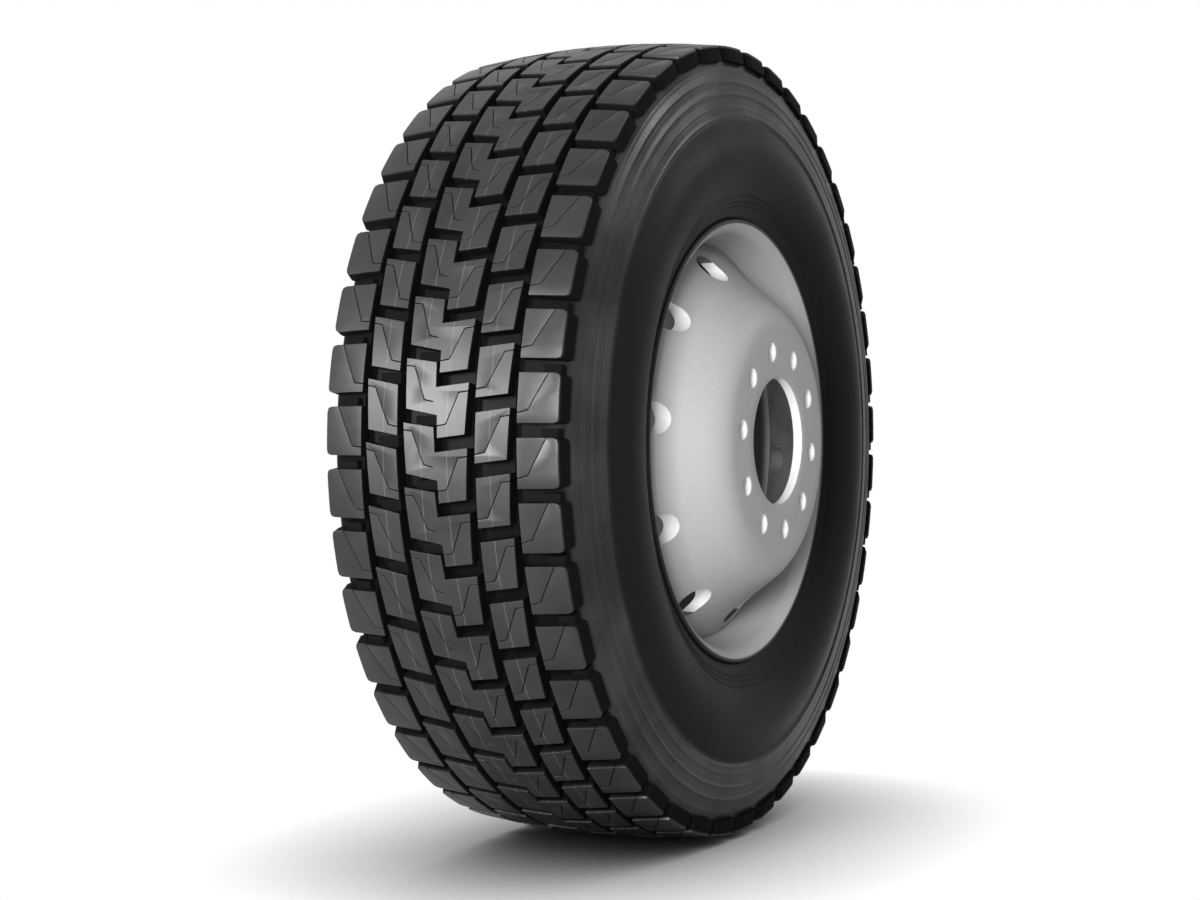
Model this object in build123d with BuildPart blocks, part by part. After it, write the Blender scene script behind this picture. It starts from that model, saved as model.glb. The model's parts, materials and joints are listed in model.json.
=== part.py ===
from build123d import *
import os
from math import asin, cos, pi, radians, sin, sqrt, tan

# A wide truck tyre on a ten stud steel disc wheel, in millimetres.
# The wheel turns about Y. The origin is the centre of the face that sits on the hub,
# the outboard side looks towards -Y and +Z is up.

# Wheel sizes
wheel_offset = 199.0
rim_half_width = 149.2
bead_seat_radius = 285.75
bead_seat_angle = 15.0
flange_height = 12.7
flange_flare = 9.0
rim_wall = 7.0
seat_end = 78.0
well_depth = 35.75
disc_wall = 14.0
disc_flat_radius = 150.0
knuckle_angle = 26.0
knuckle_length = 42.0
skirt_height = 37.0
skirt_length = 36.0
disc_edge = 105.0
bore_radius = 85.0
stud_count = 10
stud_circle_radius = 120.0
stud_hole_radius = 13.0
stud_start_angle = 100.5
hand_hole_width = 43.0
hand_hole_length = 52.0
hand_hole_reach = 7.0

# Tyre casing sizes
tread_radius = 536.0
crown_arc = 1130.0
tread_half_width = 154.0
shoulder_height = 31.0
shoulder_flare = 9.5
upper_side_drop = 86.0
upper_side_half_width = 184.0
section_height = 109.25
section_half_width = 189.0
lower_side_height = 59.25
lower_side_half_width = 183.0
bead_width = 38.0
liner_bead_height = 32.25
liner_bead_half_width = 146.0
liner_lower_height = 59.25
liner_upper_drop = 81.0
liner_side_half_width = 168.0
crown_wall = 36.0
liner_crown_half_width = 110.0

# Tread sizes
pitch_count = 44
groove_depth = 20.0
groove_width = 11.0
centre_row_half_width = 42.5
inner_row_width = 42.0
cross_depth = 17.0
cross_width = 14.0
cross_slant = 8.5
cross_overrun = 2.0
shoulder_cross_width = 15.0
shoulder_cross_tilt = 7.0
shoulder_cross_depth = 15.0
slit_width = 5.0
slit_place = -0.5
tread_start_angle = 166.1

# Place of each row's cross groove along one pitch, as a share of the pitch
inboard_shoulder_phase = 0.0
inboard_inner_phase = 0.636
inboard_centre_phase = 0.318
outboard_centre_phase = 0.697
outboard_inner_phase = 0.073
outboard_shoulder_phase = 0.477

# Valve sizes
valve_hand_hole = 6
valve_stem_radius = 4.2
valve_hole_clearance = 0.3
valve_head_radius = 8.5
valve_head_height = 4.0
valve_nut_width = 14.0
valve_nut_height = 6.0
valve_nut_clearance = 0.2
valve_inset = 4.8
valve_bend_radius = 20.0
valve_reach = 46.0
valve_cap_radius = 5.6
valve_cap_length = 14.0
valve_cap_top = 2.5

os.makedirs("parts", exist_ok=True)

# Derived places, as radius and distance from the tyre's mid plane
mid_plane = Plane(origin=(0, wheel_offset, 0))
taper = tan(radians(bead_seat_angle))
flange_radius = bead_seat_radius + flange_height
flange_edge = rim_half_width + flange_flare
seat_end_radius = bead_seat_radius - (rim_half_width - seat_end) * taper
well_radius = bead_seat_radius - well_depth
well_outboard = seat_end - (seat_end_radius - well_radius)
well_inboard = rim_half_width - well_depth / taper
toe_half_width = rim_half_width - bead_width
toe_radius = bead_seat_radius - bead_width * taper
pitch_angle = 360.0 / pitch_count
pitch_length = 2 * pi * tread_radius / pitch_count
inner_row_start = centre_row_half_width + groove_width
inner_row_end = inner_row_start + inner_row_width
inner_row_mid = (inner_row_start + inner_row_end) / 2
inner_groove = inner_row_start - groove_width / 2
outer_groove = inner_row_end + groove_width / 2
shoulder_row_start = inner_row_end + groove_width
shoulder_row_mid = (shoulder_row_start + tread_half_width) / 2


def crown_radius(w):
    """Radius of the tread surface at the distance w from the mid plane."""
    return tread_radius - crown_arc + sqrt(crown_arc**2 - w**2)


def seat_back_radius(w):
    """Radius of the back of the outboard bead seat at the distance w from the mid plane."""
    return bead_seat_radius - rim_wall / cos(radians(bead_seat_angle)) - (rim_half_width - w) * taper


def sheet_outline(points, wall):
    """Closed outline of a sheet of even wall on the left of the line through the points."""
    points = [Vector(p) for p in points]
    ways = [(b - a).normalized() for a, b in zip(points, points[1:])]
    normals = [Vector(-way.Y, way.X) for way in ways]
    back = [points[0] + normals[0] * wall]
    for point, before, after in zip(points[1:-1], normals, normals[1:]):
        back.append(point + (before + after) * (wall / (1 + before.dot(after))))
    back.append(points[-1] + normals[-1] * wall)
    return points + back[::-1]


# Corners of the disc's outboard face and the middle of a hand hole
knuckle_way = Vector(cos(radians(knuckle_angle)), sin(radians(knuckle_angle)))
knuckle_end = Vector(disc_flat_radius, -wheel_offset - disc_wall) + knuckle_way * knuckle_length
disc_rest = Vector(seat_back_radius(disc_edge), -disc_edge)
dome_end = disc_rest - Vector(skirt_height, skirt_length)
dome_way = (dome_end - knuckle_end).normalized()
disc_end = disc_rest + (disc_rest - dome_end).normalized() * 2 * disc_wall
hand_hole_middle = dome_end + dome_way * hand_hole_reach

# Valve place: square to the sloping wall between the outboard bead seat and the well
valve_angle = radians(stud_start_angle + valve_hand_hole * 360.0 / stud_count)
valve_plane = Plane(
    origin=(0, wheel_offset, 0),
    x_dir=(cos(valve_angle), 0, sin(valve_angle)),
    z_dir=(-sin(valve_angle), 0, cos(valve_angle)),
)
slope_half = sin(radians(45.0))
valve_foot = Vector((seat_end_radius + well_radius) / 2, -(seat_end + well_outboard) / 2)
valve_way = Vector(-slope_half, -slope_half)
bend_tangent = valve_bend_radius * tan(radians(22.5))
valve_start = valve_foot - valve_way * valve_head_height
valve_run = (valve_foot.X - hand_hole_middle.X + valve_inset) / slope_half
valve_corner = valve_foot + valve_way * valve_run
valve_tip = valve_corner + Vector(0, -1) * (bend_tangent + valve_reach)


def valve_section(along):
    """Plane across the straight foot of the valve, at a distance along it from the tyre side of the rim."""
    point = valve_plane.from_local_coords(valve_foot + valve_way * along)
    ahead = valve_plane.from_local_coords(valve_foot + valve_way * (along + 1))
    return Plane(origin=point, z_dir=ahead - point)


tip_plane = Plane(origin=valve_plane.from_local_coords(valve_tip), z_dir=(0, -1, 0))

# Rim: one rolled sheet with flared flanges, 15 degree bead seats and a drop centre
with BuildPart() as rim:
    with BuildSketch(mid_plane):
        with BuildLine():
            Polyline(
                *sheet_outline(
                    [
                        (flange_radius, -flange_edge),
                        (bead_seat_radius, -rim_half_width),
                        (seat_end_radius, -seat_end),
                        (well_radius, -well_outboard),
                        (well_radius, well_inboard),
                        (bead_seat_radius, rim_half_width),
                        (flange_radius, flange_edge),
                    ],
                    rim_wall,
                ),
                close=True,
            )
        make_face()
    revolve(axis=Axis.Y)
    with BuildSketch(valve_section(0)):
        Circle(valve_stem_radius + valve_hole_clearance)
    extrude(amount=2 * rim_wall, both=True, mode=Mode.SUBTRACT)
rim.part.label = "rim"

# Cutter of one hand hole, square to the dome, in a frame with X radial and Z outboard
hand_hole_plane = Plane(
    origin=(hand_hole_middle.X, 0, -hand_hole_middle.Y),
    x_dir=(0, 1, 0),
    z_dir=(dome_way.Y, 0, dome_way.X),
)
with BuildPart() as hand_hole_cutter:
    with BuildSketch(hand_hole_plane):
        SlotOverall(hand_hole_length, hand_hole_width, rotation=90)
    extrude(amount=2 * disc_wall, both=True)

# Wheel disc: a pressed dome with a flat stud flange, its edge cut to sit on the back of the bead seat
with BuildPart() as wheel_disc:
    with BuildSketch(mid_plane):
        with BuildLine():
            Polyline(
                *sheet_outline(
                    [
                        (bore_radius, -wheel_offset - disc_wall),
                        (disc_flat_radius, -wheel_offset - disc_wall),
                        knuckle_end,
                        dome_end,
                        disc_end,
                    ],
                    disc_wall,
                ),
                close=True,
            )
        make_face()
        with BuildLine():
            Polyline(
                (seat_back_radius(flange_edge), -flange_edge),
                (seat_back_radius(0), 0),
                (flange_radius, 0),
                (flange_radius, -flange_edge),
                close=True,
            )
        make_face(mode=Mode.SUBTRACT)
    revolve(axis=Axis.Y)
    with Locations(Plane.XZ.offset(disc_wall)):
        with PolarLocations(stud_circle_radius, stud_count, start_angle=stud_start_angle):
            Hole(stud_hole_radius)
    with Locations(Plane.XZ.offset(-wheel_offset)):
        with PolarLocations(0, stud_count, start_angle=stud_start_angle):
            add(hand_hole_cutter.part, mode=Mode.SUBTRACT)
wheel_disc.part.label = "wheel_disc"


def row_plane(w_mid, depth, extra_tilt=0.0):
    """Plane at the groove floor of the row at w_mid, looking out, with X along the tread."""
    tilt = asin(w_mid / crown_arc) + radians(extra_tilt)
    return Plane(
        origin=(crown_radius(w_mid) - depth, 0, -w_mid),
        x_dir=(0, 1, 0),
        z_dir=(cos(tilt), 0, -sin(tilt)),
    )


def cross_outline(w_mid, w_start, w_end, width, slant):
    """Corners of a cross groove from w_start to w_end whose inner end leans along the tread."""
    lean = tan(radians(slant)) * (-1 if w_mid < 0 else 1)
    low, high = sorted((w_mid - w_start, w_mid - w_end))
    return [
        (low * lean - width / 2, low),
        (low * lean + width / 2, low),
        (high * lean + width / 2, high),
        (high * lean - width / 2, high),
    ]


# Cutters of the cross grooves, one for each row of blocks, with X radial and Z outboard
cross_end = groove_width + cross_overrun
row_cutters = []
for side, phase in ((1, inboard_inner_phase), (-1, outboard_inner_phase)):
    with BuildPart() as inner_row_cutter:
        with BuildSketch(row_plane(side * inner_row_mid, cross_depth)):
            with BuildLine():
                Polyline(
                    *cross_outline(
                        side * inner_row_mid,
                        side * inner_groove,
                        side * (inner_row_end + cross_end),
                        cross_width,
                        cross_slant,
                    ),
                    close=True,
                )
            make_face()
        extrude(amount=2 * cross_depth)
    row_cutters.append((phase, inner_row_cutter.part))
for side, phase in ((1, inboard_shoulder_phase), (-1, outboard_shoulder_phase)):
    with BuildPart() as shoulder_row_cutter:
        with BuildSketch(row_plane(side * shoulder_row_mid, shoulder_cross_depth, side * shoulder_cross_tilt)):
            with BuildLine():
                Polyline(
                    *cross_outline(
                        side * shoulder_row_mid,
                        side * outer_groove,
                        side * (tread_half_width + 2 * shoulder_flare),
                        shoulder_cross_width,
                        0.0,
                    ),
                    close=True,
                )
            make_face()
        extrude(amount=2 * shoulder_cross_depth)
    row_cutters.append((phase, shoulder_row_cutter.part))

# The centre row's groove is a Z: two cross grooves joined by a slit along the tread
centre_phase = (inboard_centre_phase + outboard_centre_phase) / 2
centre_step = (outboard_centre_phase - inboard_centre_phase) * pitch_length
with BuildPart() as centre_row_cutter:
    with BuildSketch(row_plane(0.0, cross_depth)):
        for side in (1, -1):
            with BuildLine(Plane((-side * centre_step / 2, -side * centre_row_half_width / 2))):
                Polyline(
                    *cross_outline(
                        side * centre_row_half_width / 2,
                        slit_place - side * slit_width / 2,
                        side * (centre_row_half_width + cross_end),
                        cross_width,
                        cross_slant,
                    ),
                    close=True,
                )
            make_face()
        with Locations((0, -slit_place)):
            Rectangle(centre_step, slit_width)
    extrude(amount=2 * cross_depth)
row_cutters.append((centre_phase, centre_row_cutter.part))

# Tyre: a hollow casing from bead to bead with five rows of tread blocks
with BuildPart() as tyre:
    with BuildSketch(mid_plane):
        with BuildLine():
            Polyline(
                (tread_radius, 0),
                (tread_radius, inner_groove),
                (crown_radius(inner_row_mid), inner_groove),
                (crown_radius(inner_row_mid), outer_groove),
                (crown_radius(outer_groove), outer_groove),
                (crown_radius(tread_half_width), tread_half_width),
                (tread_radius - shoulder_height, tread_half_width + shoulder_flare),
                (tread_radius - upper_side_drop, upper_side_half_width),
                (bead_seat_radius + section_height, section_half_width),
                (bead_seat_radius + lower_side_height, lower_side_half_width),
                (flange_radius, flange_edge),
                (bead_seat_radius, rim_half_width),
                (toe_radius, toe_half_width),
                (bead_seat_radius + liner_bead_height, liner_bead_half_width),
                (bead_seat_radius + liner_lower_height, liner_side_half_width),
                (tread_radius - liner_upper_drop, liner_side_half_width),
                (tread_radius - crown_wall, liner_crown_half_width),
                (tread_radius - crown_wall, 0),
                close=True,
            )
        make_face()
        mirror(about=Plane.XZ)
        for w_groove in (inner_groove, outer_groove):
            with Locations((crown_radius(w_groove), w_groove), (crown_radius(w_groove), -w_groove)):
                Rectangle(2 * groove_depth, groove_width, mode=Mode.SUBTRACT)
    revolve(axis=Axis.Y)
    with Locations(Plane.XZ.offset(-wheel_offset)):
        for phase, cutter in row_cutters:
            with PolarLocations(0, pitch_count, start_angle=tread_start_angle + phase * pitch_angle):
                add(cutter, mode=Mode.SUBTRACT)
tyre.part.label = "tyre"

# Valve stem: a bent rod with a head on the tyre side of the rim
with BuildPart() as valve_stem:
    with BuildLine() as stem_line:
        FilletPolyline(
            valve_plane.from_local_coords(valve_start),
            valve_plane.from_local_coords(valve_corner),
            valve_plane.from_local_coords(valve_tip),
            radius=valve_bend_radius,
        )
    with BuildSketch(valve_section(-valve_head_height)):
        Circle(valve_stem_radius)
    sweep(path=stem_line.line)
    with BuildSketch(valve_section(-valve_head_height)):
        Circle(valve_head_radius)
    extrude(amount=valve_head_height)
valve_stem.part.label = "valve_stem"

# Valve nut: a hexagon against the disc side of the rim
with BuildPart() as valve_nut:
    with BuildSketch(valve_section(rim_wall + valve_nut_clearance)):
        RegularPolygon(valve_nut_width / 2, 6, major_radius=False)
        Circle(valve_stem_radius, mode=Mode.SUBTRACT)
    extrude(amount=valve_nut_height)
valve_nut.part.label = "valve_nut"

# Valve cap: a cup over the end of the stem
with BuildPart() as valve_cap:
    with BuildSketch(tip_plane.offset(valve_cap_top - valve_cap_length)):
        Circle(valve_cap_radius)
    extrude(amount=valve_cap_length)
    with BuildSketch(tip_plane):
        Circle(valve_stem_radius)
    extrude(amount=-valve_cap_length, mode=Mode.SUBTRACT)
valve_cap.part.label = "valve_cap"

export_step(tyre.part, "parts/tyre.step")
export_step(rim.part, "parts/rim.step")
export_step(wheel_disc.part, "parts/wheel_disc.step")
export_step(valve_stem.part, "parts/valve_stem.step")
export_step(valve_nut.part, "parts/valve_nut.step")
export_step(valve_cap.part, "parts/valve_cap.step")
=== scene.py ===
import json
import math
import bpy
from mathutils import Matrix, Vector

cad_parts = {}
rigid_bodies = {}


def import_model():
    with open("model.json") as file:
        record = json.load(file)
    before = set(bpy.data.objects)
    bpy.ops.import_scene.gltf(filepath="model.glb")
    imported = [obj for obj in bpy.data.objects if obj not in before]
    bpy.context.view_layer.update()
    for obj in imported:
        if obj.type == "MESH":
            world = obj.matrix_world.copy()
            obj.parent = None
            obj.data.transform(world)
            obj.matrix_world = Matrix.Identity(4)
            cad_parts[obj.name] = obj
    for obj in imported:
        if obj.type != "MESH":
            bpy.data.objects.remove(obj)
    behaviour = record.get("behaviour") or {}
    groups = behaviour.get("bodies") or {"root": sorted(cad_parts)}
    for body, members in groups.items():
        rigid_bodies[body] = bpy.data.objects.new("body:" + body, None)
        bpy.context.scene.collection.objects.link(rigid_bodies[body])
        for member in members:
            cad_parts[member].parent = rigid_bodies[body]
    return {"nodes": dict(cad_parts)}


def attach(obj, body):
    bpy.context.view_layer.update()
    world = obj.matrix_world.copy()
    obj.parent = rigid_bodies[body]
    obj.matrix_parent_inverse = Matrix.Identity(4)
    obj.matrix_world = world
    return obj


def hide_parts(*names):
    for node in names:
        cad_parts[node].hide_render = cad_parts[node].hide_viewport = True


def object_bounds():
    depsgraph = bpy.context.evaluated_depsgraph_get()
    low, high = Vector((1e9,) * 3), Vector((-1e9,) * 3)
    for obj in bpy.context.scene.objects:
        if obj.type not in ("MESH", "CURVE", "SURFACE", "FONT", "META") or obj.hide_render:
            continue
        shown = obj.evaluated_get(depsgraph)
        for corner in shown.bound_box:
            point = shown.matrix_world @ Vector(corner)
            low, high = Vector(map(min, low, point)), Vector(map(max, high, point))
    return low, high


bl_info = {
    "name": "Truck Tyre on a Disc Wheel",
    "version": (1, 0, 0),
    "blender": (4, 5, 0),
    "location": "3D View > Sidebar > Truck Tyre",
    "description": "Models a wide truck tyre on a ten stud steel disc wheel over its CAD frame",
    "category": "Mesh",
}

import bmesh
import bpy
from bpy.props import FloatProperty, FloatVectorProperty, IntProperty, PointerProperty
from bpy.types import Operator, Panel, PropertyGroup
from mathutils import Vector

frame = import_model()
cad_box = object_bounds()

MM = 0.001
TURN = 2 * math.pi

# The flat strip of tread is centred on the tyre's lowest point
# and starts this many pitches before the measured one
STRIP_START = 9
LOWEST_ANGLE = 270

# Limits for picking points, and the height of the slit blades above the tread
SHOULDER_EDGE = 0.149
SURFACE_TOLERANCE = 0.0003
SLIT_RISE = 0.003

# Tread blocks of one pitch: each corner as millimetres from the mid plane and degrees round
OUTBOARD_SHOULDER = [
    (-106.2, 162.9),
    (-150.5, 162.9),
    (-155.1, 163.1),
    (-156.5, 163.6),
    (-156.5, 168.6),
    (-155.1, 169.1),
    (-150.5, 169.25),
    (-106.2, 169.25),
]
INBOARD_SHOULDER = [
    (104.6, 167.05),
    (150.5, 167.05),
    (155.1, 167.25),
    (156.5, 167.75),
    (156.5, 172.7),
    (155.1, 173.2),
    (150.5, 173.4),
    (104.6, 173.4),
]
OUTBOARD_INNER = [(-53.7, 159.75), (-97.2, 159.15), (-93.7, 165.6), (-52.7, 166.1)]
INBOARD_INNER = [(96.8, 163.5), (53.3, 164.4), (51.8, 170.8), (93.3, 170.05)]
CENTRE = [
    (43.3, 161.0),
    (1.8, 161.6),
    (0.3, 164.75),
    (-43.2, 164.2),
    (-39.7, 170.7),
    (-3.2, 171.15),
    (-2.6, 168.3),
    (39.8, 167.45),
]

# Fine slits of one pitch, drawn past the sides of the blocks that they cross
SLITS = [
    [(-143.0, 161.9), (-142.2, 162.95), (-119.2, 167.6), (-103.0, 168.05)],
    [(-99.5, 160.05), (-85.7, 160.3), (-65.7, 164.75), (-49.5, 165.05)],
    [(-45.5, 165.2), (-30.7, 165.45), (-14.7, 169.4), (0.5, 169.7)],
    [(45.5, 161.9), (31.3, 162.1), (15.3, 166.3), (3.3, 166.6)],
    [(99.5, 164.3), (85.3, 164.65), (65.3, 169.4), (49.5, 169.75)],
    [(140.2, 166.0), (139.3, 167.1), (117.3, 172.2), (101.0, 172.35)],
]

# Low bars that tie neighbouring blocks together, as two corners
TIE_BARS = [
    ((-133.7, 169.9), (-154.5, 171.2)),
    ((114.0, 174.1), (137.0, 175.4)),
    ((82.0, 170.9), (53.0, 172.4)),
    ((29.0, 168.3), (-2.0, 169.6)),
]

# Half section of the tyre as radius and millimetres from the mid plane, from crown to bead to liner
TREAD_FLOOR = [
    (518.9, 14.0),
    (518.2, 42.5),
    (515.3, 43.6),
    (514.8, 52.4),
    (517.7, 53.5),
    (516.5, 75.0),
    (514.9, 95.5),
    (512.0, 96.6),
    (511.0, 105.4),
    (519.2, 106.5),
    (513.5, 130.0),
    (508.4, 151.0),
]
SIDEWALL = [
    (505.4, 155.0),
    (503.0, 156.8),
    (497.6, 158.6),
    (495.6, 160.0),
    (493.6, 160.6),
    (491.6, 160.5),
    (487.0, 161.6),
    (481.0, 163.2),
    (479.2, 164.8),
    (476.8, 165.6),
    (474.2, 165.2),
    (469.0, 166.2),
    (463.4, 167.4),
    (461.6, 169.2),
    (459.4, 169.5),
    (457.2, 168.9),
    (451.0, 169.9),
    (446.6, 170.7),
    (444.8, 172.1),
    (442.2, 172.6),
    (438.6, 172.6),
    (435.6, 173.4),
    (433.8, 173.8),
    (432.0, 173.1),
    (430.0, 171.9),
    (424.0, 174.4),
    (414.0, 178.4),
    (404.0, 182.0),
    (394.0, 184.7),
    (383.0, 186.3),
    (369.0, 186.2),
    (355.0, 184.0),
    (344.0, 180.6),
    (335.0, 176.8),
    (330.4, 174.6),
    (329.2, 175.2),
    (327.6, 174.6),
    (326.6, 172.9),
    (323.0, 170.9),
    (321.8, 171.4),
    (320.4, 170.6),
    (319.4, 169.0),
    (316.6, 167.4),
    (315.4, 167.9),
    (314.2, 167.0),
    (313.2, 165.6),
    (306.0, 161.9),
    (301.0, 160.0),
    (298.45, 158.2),
]
BEAD_AND_LINER = [
    (288.6, 151.2),
    (286.2, 149.2),
    (284.7, 145.4),
    (276.6, 115.0),
    (275.9, 111.6),
    (277.6, 110.4),
    (292.0, 121.0),
    (318.0, 146.0),
    (331.0, 158.5),
    (345.0, 165.5),
    (362.0, 168.0),
    (438.0, 168.0),
    (455.0, 165.5),
    (472.0, 151.5),
    (488.0, 127.5),
    (496.0, 112.0),
    (499.4, 96.0),
    (500.0, 30.0),
]

# Tyre side of the rim sheet, as radius and millimetres from the mid plane
RIM_LINE = [
    (298.45, -158.2),
    (285.75, -149.2),
    (266.67, -78.0),
    (250.0, -61.33),
    (250.0, 15.78),
    (285.75, 149.2),
    (298.45, 158.2),
]
RIM_BENDS_WITHIN = 0.155
RIM_BEND = 0.006

# Middle of the valve's hole, as radius and distance outboard of the mid plane
VALVE_HOLE_RADIUS = 0.2583
VALVE_HOLE_OUT = 0.0697

# Outboard face of the disc, from the bore to the back of the bead seat
DISC_LINE = [
    (85.0, -213.0),
    (104.0, -213.0),
    (136.0, -213.0),
    (150.0, -213.0),
    (160.0, -211.5),
    (170.0, -207.5),
    (178.0, -202.3),
    (186.0, -195.0),
    (193.0, -186.5),
    (200.0, -177.0),
    (207.0, -167.5),
    (214.0, -158.0),
    (221.0, -149.0),
    (229.0, -139.0),
    (238.0, -129.0),
    (248.0, -119.5),
    (258.0, -111.5),
    (266.6, -105.0),
]

# The disc's back edge, and how it is moved onto the rim
BACK_EDGE_RADIUS = 0.255
BACK_EDGE_OUT = 0.098
SEAT_SCALE = 1.0178
SEAT_SHIFT = 0.0032

# Hand holes, cut along the axle: middle, and width against a hole cut square to the dome
HAND_HOLE_CIRCLE = 0.2339
HAND_HOLE_OUT = 0.1345
HAND_HOLE_SQUEEZE = 0.67

# Materials of the disc by slot: paint, near white as painted light on the lit walls of the holes,
# and dark paint as painted shade; and the radii and slopes that tell its faces apart
PAINT, LIT_WALLS, SHADED_FACES = range(3)
BORE_FROM = 0.08
HAND_HOLES_FROM = 0.2
HAND_HOLES_TO = 0.256
WALL_SLOPE = 0.25
FACES_AXLE = -0.05

# Where the looks of the rubber change: height above the tread, places across it, and radii
TREAD_TOP = (-0.004, -0.0006)
MOULD_LINES = (0.072, 0.019, -0.016, -0.072)
MOULD_LINE_HALF = 0.0005
RIBS_START = (0.425, 0.432)
RIBS_END = (0.500, 0.508)
TREAD_FOOT = (0.506, 0.509)

# Where the painted shade inside the rim starts and ends across it, and the radius where its near
# black lips start
SHADE_START = (-0.096, -0.08)
SHADE_END = (0.145, 0.16)
LIP_START = (0.2905, 0.2925)

# Contact shadow on the floor
SHADOW_REACH = 0.3
SHADOW_POWER = 1.6


class TyreSettings(PropertyGroup):
    """Sizes and colours of the tyre."""

    tread_radius: FloatProperty(
        name="Tread Radius",
        description="Radius of the tread at the mid plane",
        default=0.536,
        unit="LENGTH",
    )
    crown_arc: FloatProperty(
        name="Crown Arc",
        description="Radius of the arc of the tread from shoulder to shoulder",
        default=1.13,
        unit="LENGTH",
    )
    pitch_count: IntProperty(
        name="Pitches",
        description="Times that the tread pattern repeats round the tyre",
        default=44,
    )
    block_depth: FloatProperty(
        name="Block Depth",
        description="Height of the tread blocks down to their sunk foot",
        default=0.0205,
        unit="LENGTH",
    )
    block_edge: FloatProperty(
        name="Block Edge",
        description="Width of the bevel round the top of a block",
        default=0.0007,
        unit="LENGTH",
    )
    shoulder_flare: FloatProperty(
        name="Shoulder Flare",
        description="Distance that a shoulder block widens to its foot",
        default=0.005,
        unit="LENGTH",
    )
    slit_width: FloatProperty(
        name="Slit Width",
        description="Width of the fine slits in the blocks",
        default=0.0011,
        unit="LENGTH",
    )
    slit_depth: FloatProperty(
        name="Slit Depth",
        description="Depth of the fine slits in the blocks",
        default=0.014,
        unit="LENGTH",
    )
    tie_bar_drop: FloatProperty(
        name="Tie Bar Drop",
        description="Depth of the tie bars below the tread",
        default=0.0055,
        unit="LENGTH",
    )
    steps: IntProperty(
        name="Steps",
        description="Faces of the casing round the tyre",
        default=264,
    )
    tread_colour: FloatVectorProperty(
        name="Tread Colour",
        description="Rubber on the tops of the blocks",
        subtype="COLOR",
        default=(0.011, 0.011, 0.0112),
    )
    # Near black for the block walls and the groove floors: painted shade in the grooves, darker
    # than the same rubber on the tops
    shaded_wall_colour: FloatVectorProperty(
        name="Shaded Wall Colour",
        description="Rubber on the walls of the blocks",
        subtype="COLOR",
        default=(0.0025, 0.0025, 0.0026),
    )
    side_colour: FloatVectorProperty(
        name="Side Colour",
        description="Rubber of the sidewall and the groove floors",
        subtype="COLOR",
        default=(0.006, 0.006, 0.0062),
    )
    # Lighter rubber on the ribs below the shoulder: a painted highlight standing for their glint
    rib_sheen_colour: FloatVectorProperty(
        name="Rib Sheen Colour",
        description="Rubber of the ribs below the shoulder",
        subtype="COLOR",
        default=(0.022, 0.022, 0.0222),
    )
    line_colour: FloatVectorProperty(
        name="Line Colour",
        description="Pale mould lines round the tread",
        subtype="COLOR",
        default=(0.06, 0.06, 0.06),
    )


class WheelSettings(PropertyGroup):
    """Sizes and colours of the rim and the disc."""

    offset: FloatProperty(
        name="Offset",
        description="Distance from the hub face to the mid plane of the tyre",
        default=0.199,
        unit="LENGTH",
    )
    rim_wall: FloatProperty(
        name="Rim Wall",
        description="Thickness of the rim sheet",
        default=0.007,
        unit="LENGTH",
    )
    disc_wall: FloatProperty(
        name="Disc Wall",
        description="Thickness of the disc",
        default=0.014,
        unit="LENGTH",
    )
    hole_count: IntProperty(
        name="Holes",
        description="Number of stud holes, and of hand holes",
        default=10,
    )
    hole_start: FloatProperty(
        name="First Hole",
        description="Place of the first stud hole and hand hole round the wheel",
        default=math.radians(100.5),
        subtype="ANGLE",
    )
    stud_circle: FloatProperty(
        name="Stud Circle",
        description="Radius of the circle of stud holes",
        default=0.120,
        unit="LENGTH",
    )
    stud_hole: FloatProperty(
        name="Stud Hole",
        description="Radius of a stud hole",
        default=0.013,
        unit="LENGTH",
    )
    hand_hole: FloatProperty(
        name="Hand Hole",
        description="Radius of the round ends of a hand hole",
        default=0.0215,
        unit="LENGTH",
    )
    hand_hole_stretch: FloatProperty(
        name="Hand Hole Stretch",
        description="Straight length between the round ends of a hand hole",
        default=0.009,
        unit="LENGTH",
    )
    valve_hole: FloatProperty(
        name="Valve Hole",
        description="Radius of the valve's hole in the rim",
        default=0.0045,
        unit="LENGTH",
    )
    valve_turn: FloatProperty(
        name="Valve Turn",
        description="Place of the valve round the wheel",
        default=math.radians(316.5),
        subtype="ANGLE",
    )
    steps: IntProperty(
        name="Steps",
        description="Faces of the rim and the disc round the wheel",
        default=240,
    )
    paint_colour: FloatVectorProperty(
        name="Paint Colour",
        description="Silver paint of the rim and the disc",
        subtype="COLOR",
        default=(0.275, 0.278, 0.282),
    )
    # Near white for the walls of the holes that face the lamps: painted light
    lit_wall_colour: FloatVectorProperty(
        name="Lit Wall Colour",
        description="Machined steel on the walls of the holes",
        subtype="COLOR",
        default=(0.8, 0.8, 0.805),
    )
    # Dark colour inside the rim, on the back of the disc and in the hand holes: painted shade
    painted_shade_colour: FloatVectorProperty(
        name="Painted Shade Colour",
        description="Brake dust on the inside of the rim and the back of the disc",
        subtype="COLOR",
        default=(0.03, 0.0295, 0.0285),
    )
    # Near black for the lips of the rim, where they meet the tyre
    lip_black_colour: FloatVectorProperty(
        name="Lip Black Colour",
        description="Black rubber left on the lips of the rim",
        subtype="COLOR",
        default=(0.008, 0.008, 0.008),
    )


class ValveSettings(PropertyGroup):
    """Colours of the valve."""

    brass_colour: FloatVectorProperty(
        name="Brass Colour",
        description="Metal of the stem and the nut",
        subtype="COLOR",
        default=(0.66, 0.50, 0.24),
    )
    cap_colour: FloatVectorProperty(
        name="Cap Colour",
        description="Plastic of the cap",
        subtype="COLOR",
        default=(0.018, 0.018, 0.019),
    )


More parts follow.
